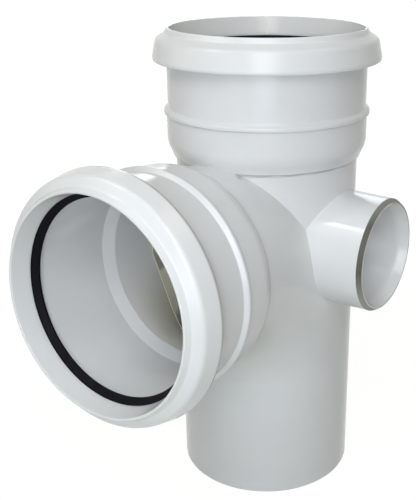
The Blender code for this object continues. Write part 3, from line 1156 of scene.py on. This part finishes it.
def with_painted_edge_shade(material, finish, group, start, full, least):
    """Paints a fine line of shade on the rear edge of a moulding on the branch, where it meets the part
    behind.

    It starts at one depth below the lip plane, is full at the next, and lies outside the least radius.
    """
    tree = material.node_tree
    if "edge_grime" in tree.nodes:
        return material
    shader = tree.nodes["Principled BSDF"].inputs
    reach = add_node(tree, "Group", (-900, 900), node_tree=group).outputs
    deep = ranged(tree, reach["Depth"], (-700, 1000), start, full, 0.0, finish.edge_shade_amount)
    outside = ranged(tree, reach["Radius"], (-700, 820), least - 0.0006, least)
    past = ranged(tree, reach["Depth"], (-700, 1180), full + 0.0020, full + 0.0024, 1.0, 0.0)
    # Painted shade: a dark line where the rear edge meets the part behind.
    mask = product(tree, (-500, 900), deep, outside, past)
    values = {"Factor": mask, COLOUR_A: feeding(shader["Base Color"]), COLOUR_B: rgba(finish.grime_and_shade_colour)}
    blend = add_node(tree, "Mix", (-120, 700), values, data_type="RGBA", name="edge_grime")
    feed(tree, shader, {"Base Color": blend.outputs[COLOUR_OUT]})
    return material


def body_plastic(finish, body):
    """White plastic of the body, with a dark olive, duller chamfer at the boss mouth and the grime of the
    weld.
    """
    name = "body_white_plastic"
    if name in bpy.data.materials:
        return bpy.data.materials[name]
    material = plastic(finish, name, finish.body_colour)
    tree = material.node_tree
    shader = tree.nodes["Principled BSDF"].inputs
    mouth = (STACK.x + body.boss_reach, STACK.y, body.boss_height)
    shift = vectors(tree, "SUBTRACT", (-1100, 600), object_point(tree, (-1300, 600)), mouth)
    place = split(tree, (-900, 600), shift)
    across = maths(tree, "POWER", (-700, 700), place["Y"], 2.0)
    upward = maths(tree, "POWER", (-700, 540), place["Z"], 2.0)
    radius = maths(tree, "SQRT", (-400, 620), maths(tree, "ADD", (-540, 620), across, upward))
    chamfer_start = boss_lip(body)
    lip_start = chamfer_start - body.boss_lip_width
    outside = ranged(tree, radius, (-240, 700), chamfer_start - 0.0003, chamfer_start)
    chamfer_end = -body.boss_fall - 0.0001
    near = ranged(tree, place["X"], (-240, 460), chamfer_end - 0.0001, chamfer_end + 0.0001)
    chamfer = maths(tree, "MULTIPLY", (-60, 600), outside, near)
    lip = ranged(tree, radius, (-240, 900), lip_start, lip_start + 0.0002)
    flat = ranged(tree, place["X"], (-240, 1060), -0.0004, -0.0002, 0.0, finish.lip_shade)
    far_side = ranged(tree, place["Y"], (-240, 1220), -0.0020, 0.0060)
    lip = product(tree, (-60, 900), lip, flat, far_side)
    mask = maths(tree, "MAXIMUM", (260, 700), chamfer, lip)
    # The chamfer's colour: darker on its upper part, paler low down and again just under its top.
    upper = ranged(tree, place["Z"], (-700, 380), -0.55 * body.boss_radius, 0.0)
    under_top = ranged(tree, place["Z"], (-700, 160), 0.72 * body.boss_radius, body.boss_radius, 1.0, 0.3)
    upper = maths(tree, "MULTIPLY", (-600, 260), upper, under_top)
    shade = blended(tree, (-500, 380), upper, rgba(finish.chamfer_pale_colour), rgba(finish.chamfer_dark_colour))
    colour = blended(tree, (-240, 200), mask, feeding(shader["Base Color"]), shade)
    values = {"Factor": mask, NUMBER_A: feeding(shader["Roughness"]), NUMBER_B: finish.cut_roughness}
    dull = add_node(tree, "Mix", (-240, -20), values, data_type="FLOAT")
    feed(tree, shader, {"Base Color": colour, "Roughness": dull.outputs[NUMBER_OUT]})
    return with_weld_grime(material, finish)


def bore_plastic(finish, body, trim):
    """White plastic of the bores. Behind the core line of the branch it takes a painted olive shade with a
    paler painted patch of light half way up, and beside the line a brown tone fades out along the bore."""
    name = "bore_white_plastic"
    if name in bpy.data.materials:
        return bpy.data.materials[name]
    material = plastic(finish, name, finish.body_colour)
    tree = material.node_tree
    shader = tree.nodes["Principled BSDF"].inputs
    here = object_point(tree, (-1300, 600))
    height = split(tree, (-1100, 100), here)["Z"]
    shift = vectors(tree, "SUBTRACT", (-1100, 600), here, STACK)
    level = vectors(tree, "MULTIPLY", (-920, 600), shift, (1.0, 1.0, 0.0))
    far = vectors(tree, "LENGTH", (-740, 700), level, out="Value")
    border_foot = trim.core_distance - trim.core_slope * trim.core_level
    border = maths(tree, "MULTIPLY", (-920, 900), height, trim.core_slope)
    border = maths(tree, "ADD", (-920, 1080), border, border_foot)
    border = maths(tree, "MINIMUM", (-740, 1080), border, trim.core_limit)
    beyond = maths(tree, "SUBTRACT", (-740, 900), far, border)
    front = ranged(tree, split(tree, (-740, 500), level)["Y"], (-560, 500), -0.030, -0.010, 1.0, 0.0)

    # Painted shade behind the core line, with a painted patch of light half way up.
    behind = ranged(tree, beyond, (-560, 700), -0.0002, 0.0002, 1.0, 0.0)
    blotch = noise(tree, (-740, 300), here, 55.0, 2.0)
    patchy = ranged(tree, blotch, (-560, 300), 0.35, 0.60, finish.bore_shade_amount, finish.bore_shade_amount * 0.75)
    painted_shade = product(tree, (-380, 600), behind, front, patchy)
    middle = body.branch_height - trim.light_patch_drop
    above = ranged(tree, height, (-920, 180), middle - 0.0175, middle - 0.0125)
    below = ranged(tree, height, (-920, 20), middle + 0.0125, middle + 0.0150, 1.0, 0.0)
    light_patch = maths(tree, "MULTIPLY", (-740, 80), above, below)
    shade = blended(tree, (-560, 80), light_patch, rgba(finish.bore_shade_colour), rgba(finish.bore_light_colour))

    # A brown tone beside the core line, low on the front, fading out towards the mouth.
    spread = ranged(tree, beyond, (-560, 900), 0.0, 0.0500, finish.brown_tone_amount, 0.0)
    low = ranged(tree, height, (-560, 1080), middle - 0.0100, middle + 0.0180, 1.0, 0.0)
    brown_tone = product(tree, (-380, 900), spread, low, front)
    tone = blended(tree, (-400, 380), brown_tone, feeding(shader["Base Color"]), rgba(finish.brown_tone_colour))
    feed(tree, shader, {"Base Color": blended(tree, (-200, 200), painted_shade, tone, shade)})
    return material


def socket_plastic(finish):
    return with_weld_grime(plastic(finish, "socket_white_plastic", finish.socket_colour), finish)


def branch_socket_plastic(finish, body, socket):
    """Socket plastic with a fine line of painted shade on the rear edge of the rib."""
    material = plastic(finish, "branch_socket_white_plastic", finish.socket_colour)
    rear, rib = socket.rib_drop, socket.radius + socket.rib_projection
    group = branch_reach_group(body, socket)
    return with_painted_edge_shade(material, finish, group, rear - 0.0009, rear - 0.0004, rib - 0.0009)


def branch_cap_plastic(finish, body, socket, cap):
    """Cap plastic with a fine line of painted shade on the rear edge."""
    material = plastic(finish, "branch_cap_white_plastic", finish.cap_colour)
    rear = cap.height - cap.edge_round / 2
    group = branch_reach_group(body, socket)
    return with_painted_edge_shade(material, finish, group, rear - 0.0011, rear - 0.0003, cap.radius - 0.0030)


# ---------------------------------------------------------------------------------------------------------
# Operators for the pieces

TOP_LINE_ANGLE, BRANCH_LINE_ANGLE = 2.15, 0.60  # the painted glint line's place round each cap, in radians
LINE_FACETS, PARTING_FACETS = 10, 12


class PIPEBRANCH_OT_body(Operator):
    """Builds the moulded body: barrel, swept branch and waste boss in one piece"""

    bl_idname = "pipe_branch.body"
    bl_label = "Moulded body"

    def execute(self, context):
        body, finish = context.scene.branch_body, context.scene.branch_finish
        mesh = body_mesh(body)
        bored = bore_faces(mesh, body)
        mesh.transform(Matrix.Translation(STACK))
        piece = link_mesh("body_moulding", mesh, body_plastic(finish, body))
        mesh.materials.append(bore_plastic(finish, body, context.scene.branch_trim))
        mesh.polygons.foreach_set("material_index", bored.astype(np.int32))
        keep_piece(piece, "body_upvc", "branch_body")
        return {"FINISHED"}


class PIPEBRANCH_OT_sockets(Operator):
    """Builds the two ring-seal sockets with their ribs, bowls and stop rings"""

    bl_idname = "pipe_branch.sockets"
    bl_label = "Sockets"

    def execute(self, context):
        scene = context.scene
        body, socket = scene.branch_body, scene.branch_socket
        top, side = top_place(), branch_place(body, socket)
        welded = socket_plastic(scene.branch_finish)
        # The branch socket's plastic carries a painted line of shade on the rib's rear edge.
        edge_shaded = branch_socket_plastic(scene.branch_finish, body, socket)
        for node, place, size, material in (
            ("top_socket", top, socket.top_length, welded),
            ("branch_socket", side, socket.branch_length, edge_shaded),
        ):
            points = socket_outline(body, socket, scene.branch_cap, scene.branch_seal, size)
            piece = turned_ring(node + "_moulding", points, place, socket.facets, material)
            keep_piece(piece, "socket_upvc", node)
        return {"FINISHED"}


class PIPEBRANCH_OT_caps(Operator):
    """Builds the two retaining caps that hold the seals"""

    bl_idname = "pipe_branch.caps"
    bl_label = "Retaining caps"

    def execute(self, context):
        scene = context.scene
        body, socket = scene.branch_body, scene.branch_socket
        cap, finish = scene.branch_cap, scene.branch_finish
        points = cap_outline(socket, cap, scene.branch_seal)
        clean = plastic(finish, "cap_white_plastic", finish.cap_colour)
        # The branch cap's plastic carries a painted line of shade on its rear edge.
        edge_shaded = branch_cap_plastic(finish, body, socket, cap)
        glint_white = glint_line_plastic(finish)
        top, side = top_place(), branch_place(body, socket)
        for node, place, material in (("top_cap", top, clean), ("branch_cap", side, edge_shaded)):
            piece = turned_ring(node + "_ring", points, place, socket.facets, material)
            keep_piece(piece, "cap_upvc", node)
        # Thin lines inside each cap, coloured near white: a painted glint.
        for name, place, angle in (
            ("top_cap_line", top, TOP_LINE_ANGLE),
            ("branch_cap_line", side, BRANCH_LINE_ANGLE),
        ):
            line = cap_line_stations(cap, scene.branch_trim, angle)
            keep_piece(tube_piece(name, line, LINE_FACETS, glint_white, place=place), "cap_upvc")
        return {"FINISHED"}


class PIPEBRANCH_OT_seals(Operator):
    """Builds the two black rubber ring seals"""

    bl_idname = "pipe_branch.seals"
    bl_label = "Ring seals"

    def execute(self, context):
        scene = context.scene
        socket = scene.branch_socket
        points = seal_outline(socket, scene.branch_cap, scene.branch_seal)
        material = seal_rubber(scene.branch_finish)
        for name, node, place in (
            ("top_ring_seal", "top_seal", top_place()),
            ("branch_ring_seal", "branch_seal", branch_place(scene.branch_body, socket)),
        ):
            keep_piece(turned_ring(name, points, place, socket.facets, material), "seal_rubber", node)
        return {"FINISHED"}


class PIPEBRANCH_OT_weld_bead(Operator):
    """Builds the uneven weld bead under the top socket"""

    bl_idname = "pipe_branch.weld_bead"
    bl_label = "Weld bead"

    def execute(self, context):
        body = context.scene.branch_body
        material = body_plastic(context.scene.branch_finish, body)
        bead = bead_stations(body, context.scene.branch_trim)
        keep_piece(tube_piece("top_weld_bead", bead, LINE_FACETS, material, closed=True), "body_upvc")
        return {"FINISHED"}


class PIPEBRANCH_OT_mould_lines(Operator):
    """Builds the fine lines that the mould and its core leave on the branch"""

    bl_idname = "pipe_branch.mould_lines"
    bl_label = "Mould lines"

    def execute(self, context):
        scene = context.scene
        body, trim, finish = scene.branch_body, scene.branch_trim, scene.branch_finish
        edge = plastic(finish, "core_line_plastic", finish.core_colour)
        line = core_line_stations(body, trim)
        keep_piece(tube_piece("branch_core_line", line, LINE_FACETS, edge, closed=True), "body_upvc")
        for name, spin in (("parting_line_right", 0.0), ("parting_line_left", math.pi)):
            line = parting_line_stations(body, trim, spin)
            keep_piece(tube_piece(name, line, PARTING_FACETS, body_plastic(finish, body)), "body_upvc")
        return {"FINISHED"}


# ---------------------------------------------------------------------------------------------------------
# The studio

# The photograph's camera, solved from the part's visible rims, ribs and outlines
CAMERA_AZIMUTH, CAMERA_PITCH, CAMERA_YAW = math.radians(33.3), math.radians(20.02), math.radians(-0.52)
CAMERA_FOCAL, CAMERA_CENTRE_X, CAMERA_CENTRE_Y = 825.81, 259.4, 231.01  # pixels
CAMERA_AWAY, CAMERA_HEIGHT = 0.49249, 0.33625  # metres from the stack axis and above the floor
SENSOR_WIDTH = 36.0
# Points that the lamps look at, from the foot of the stack axis
AIMS = {
    "near": Vector((0.0, -0.09, 0.12)),
    "far": Vector((0.0, -0.04, 0.15)),
    "branch": Vector((0.0, -0.12, 0.16)),
    "boss": Vector((0.068, -0.025, 0.181)),
}
# Azimuth, elevation, distance, width, height, power, colour and aim
LAMPS = {
    "key_lamp": (40.0, 38.0, 1.5, 0.6, 0.6, "key_power", "cool_colour", "far"),
    "high_lamp": (30.0, 55.0, 0.75, 0.3, 0.3, "high_power", "cool_colour", "near"),
    "top_lamp": (30.0, 80.0, 0.75, 0.3, 0.3, "top_power", "blue_colour", "near"),
    "lower_flash": (33.0, 12.0, 0.5, 0.22, 0.22, "flash_low_power", "blue_colour", "far"),
    "upper_flash": (33.0, 32.0, 0.5, 0.22, 0.22, "flash_high_power", "warm_colour", "far"),
    "fill_lamp": (33.0, 12.0, 1.5, 0.8, 0.8, "fill_power", "warm_colour", "far"),
    "strip_lamp": (29.5, 18.0, 1.5, 0.12, 0.6, "strip_power", "warm_colour", "far"),
    "low_lamp": (0.0, 5.0, 1.5, 0.6, 0.6, "low_power", "blue_colour", "far"),
    "rear_lamp": (213.0, 28.0, 1.6, 0.8, 0.8, "rear_power", "cool_colour", "far"),
    "back_lamp": (130.0, 55.0, 1.5, 0.6, 0.6, "back_power", "straw_colour", "far"),
    "side_lamp": (-45.0, 55.0, 0.45, 0.2, 0.2, "side_power", "straw_colour", "branch"),
    "left_lamp": (-60.0, 8.0, 1.5, 0.6, 0.6, "left_power", "straw_colour", "far"),
    "streak_lamp": (-43.0, 53.0, 1.4, 0.12, 0.12, "streak_power", "cool_colour", "boss"),
}


def seen_directly(tree):
    """1 on rays from the camera and on those that gloss or glass sends on."""
    path = add_node(tree, "LightPath", (-600, 300)).outputs
    seen = maths(tree, "MAXIMUM", (-400, 300), path["Is Camera Ray"], path["Is Glossy Ray"])
    return maths(tree, "MAXIMUM", (-200, 300), seen, path["Is Transmission Ray"])


def mix_into(tree, factor, first, second, surface):
    mix = add_node(tree, "MixShader", (300, 100), {"Fac": factor, 1: first, 2: second})
    feed(tree, surface.inputs, {"Surface": mix.outputs["Shader"]})


def floor_material(name, colour):
    """A floor that looks white to the camera and to gloss, and still takes the part's shadow."""
    material = bpy.data.materials.new(name)
    material.use_nodes = True
    tree = material.node_tree
    shader = tree.nodes["Principled BSDF"]
    feed(tree, shader.inputs, {"Base Color": rgba(colour), "Roughness": 0.9, "Specular IOR Level": 0.0})
    away = vectors(tree, "LENGTH", (-500, -360), object_point(tree, (-700, -360)), out="Value")
    spread = ranged(tree, away, (-300, -360), 0.20, 1.60, 1.18, 1.27)
    glow = add_node(tree, "Emission", (0, -360), {"Color": WHITE, "Strength": spread})
    part = maths(tree, "MULTIPLY", (60, 300), seen_directly(tree), 0.80)
    mix_into(tree, part, shader.outputs["BSDF"], glow.outputs["Emission"], tree.nodes["Material Output"])
    return material


def studio_world(studio):
    """Faint light from all round, in front of a white that only the camera, gloss and glass see."""
    world = bpy.data.worlds.new("studio_room")
    bpy.context.scene.world = world
    world.use_nodes = True
    tree = world.node_tree
    room = tree.nodes["Background"]
    feed(tree, room.inputs, {"Color": rgba(studio.room_colour), "Strength": studio.room_strength})
    white = add_node(tree, "Background", (0, -200), {"Color": WHITE, "Strength": 1.0})
    room, white = room.outputs["Background"], white.outputs["Background"]
    mix_into(tree, seen_directly(tree), room, white, tree.nodes["World Output"])


def link_object(name, data):
    thing = bpy.data.objects.new(name, data)
    bpy.context.scene.collection.objects.link(thing)
    return thing


def soft_lamp(name, azimuth, elevation, distance, width, height, power, colour, aim):
    """A soft rectangular lamp, placed by its azimuth from the front and its elevation in degrees."""
    lamp = bpy.data.lights.new(name, "AREA")
    lamp.shape = "RECTANGLE"
    lamp.size, lamp.size_y = width, height
    lamp.energy = power
    lamp.color = colour
    a, e = math.radians(azimuth), math.radians(elevation)
    back = Vector((math.sin(a) * math.cos(e), -math.cos(a) * math.cos(e), math.sin(e)))
    thing = link_object(name, lamp)
    thing.location = aim + back * distance
    thing.rotation_euler = (-back).to_track_quat("-Z", "Y").to_euler()


def photo_camera():
    """The camera that took the photograph: where it stood, how it looked down and how it was cropped."""
    azimuth, pitch, yaw = CAMERA_AZIMUTH, CAMERA_PITCH, CAMERA_YAW
    out = Vector((math.sin(azimuth), -math.cos(azimuth), 0.0))
    side = Vector((math.cos(azimuth), math.sin(azimuth), 0.0))
    level = side * math.sin(yaw) - out * math.cos(yaw)
    ahead = level * math.cos(pitch) - Vector((0.0, 0.0, math.sin(pitch)))
    right = side * math.cos(yaw) + out * math.sin(yaw)
    up = right.cross(ahead)
    camera = bpy.data.cameras.new("photo_camera")
    camera.sensor_width = SENSOR_WIDTH
    camera.lens = CAMERA_FOCAL * SENSOR_WIDTH / PHOTO_HEIGHT
    camera.shift_x = (PHOTO_WIDTH / 2 - CAMERA_CENTRE_X) / PHOTO_HEIGHT
    camera.shift_y = (CAMERA_CENTRE_Y - PHOTO_HEIGHT / 2) / PHOTO_HEIGHT
    camera.clip_start, camera.clip_end = 0.01, 60.0
    placed = Matrix((right, up, -ahead)).transposed().to_4x4()
    placed.translation = STACK + out * CAMERA_AWAY + Vector((0.0, 0.0, CAMERA_HEIGHT))
    thing = link_object("photo_camera", camera)
    thing.matrix_world = placed
    bpy.context.scene.camera = thing


class PIPEBRANCH_OT_studio(Operator):
    """Builds the white floor, the soft lamps, the room light and the camera"""

    bl_idname = "pipe_branch.studio"
    bl_label = "Studio"

    def execute(self, context):
        studio = context.scene.branch_studio
        half = studio.floor_size
        mesh = bpy.data.meshes.new("studio_floor")
        corners = [(-half, -half, 0), (half, -half, 0), (half, half, 0), (-half, half, 0)]
        mesh.from_pydata(corners, [], [(0, 1, 2, 3)])
        mesh.transform(Matrix.Translation((0.0, 0.0, -FLOOR_DROP)))
        link_mesh("studio_floor", mesh, floor_material("studio_floor_white", studio.floor_colour))
        for name, (*placing, power, colour, aim) in LAMPS.items():
            soft_lamp(name, *placing, getattr(studio, power), getattr(studio, colour), STACK + AIMS[aim])
        studio_world(studio)
        photo_camera()
        context.scene.view_settings.view_transform = "Standard"
        return {"FINISHED"}


# ---------------------------------------------------------------------------------------------------------
# Panel and registration


class PIPEBRANCH_PT_panel(Panel):
    """Lists the pieces of the soil pipe branch and its studio"""

    bl_idname = "PIPEBRANCH_PT_panel"
    bl_label = "Pipe Branch"
    bl_space_type = "VIEW_3D"
    bl_region_type = "UI"
    bl_category = "Pipe Branch"

    def draw(self, context):
        for step in OPERATORS:
            self.layout.operator(step.bl_idname)
        for name in SETTINGS:
            group = getattr(context.scene, name)
            box = self.layout.box()
            box.label(text=name.replace("branch_", "").title())
            for key in group.bl_rna.properties.keys():
                if key not in {"rna_type", "name"}:
                    box.prop(group, key)


SETTINGS = {
    "branch_body": PIPEBRANCH_PG_body,
    "branch_socket": PIPEBRANCH_PG_socket,
    "branch_cap": PIPEBRANCH_PG_cap,
    "branch_seal": PIPEBRANCH_PG_seal,
    "branch_trim": PIPEBRANCH_PG_trim,
    "branch_finish": PIPEBRANCH_PG_finish,
    "branch_studio": PIPEBRANCH_PG_studio,
}
OPERATORS = (
    PIPEBRANCH_OT_body,
    PIPEBRANCH_OT_sockets,
    PIPEBRANCH_OT_caps,
    PIPEBRANCH_OT_seals,
    PIPEBRANCH_OT_weld_bead,
    PIPEBRANCH_OT_mould_lines,
    PIPEBRANCH_OT_studio,
)
CLASSES = (*SETTINGS.values(), *OPERATORS, PIPEBRANCH_PT_panel)


def register():
    for kind in CLASSES:
        bpy.utils.register_class(kind)
    for name, group in SETTINGS.items():
        setattr(bpy.types.Scene, name, PointerProperty(type=group))


def unregister():
    for name in SETTINGS:
        delattr(bpy.types.Scene, name)
    for kind in reversed(CLASSES):
        bpy.utils.unregister_class(kind)


def main():
    register()
    bpy.ops.pipe_branch.body()
    bpy.ops.pipe_branch.sockets()
    bpy.ops.pipe_branch.caps()
    bpy.ops.pipe_branch.seals()
    bpy.ops.pipe_branch.weld_bead()
    bpy.ops.pipe_branch.mould_lines()
    bpy.ops.pipe_branch.studio()


if __name__ == "__main__":
    main()
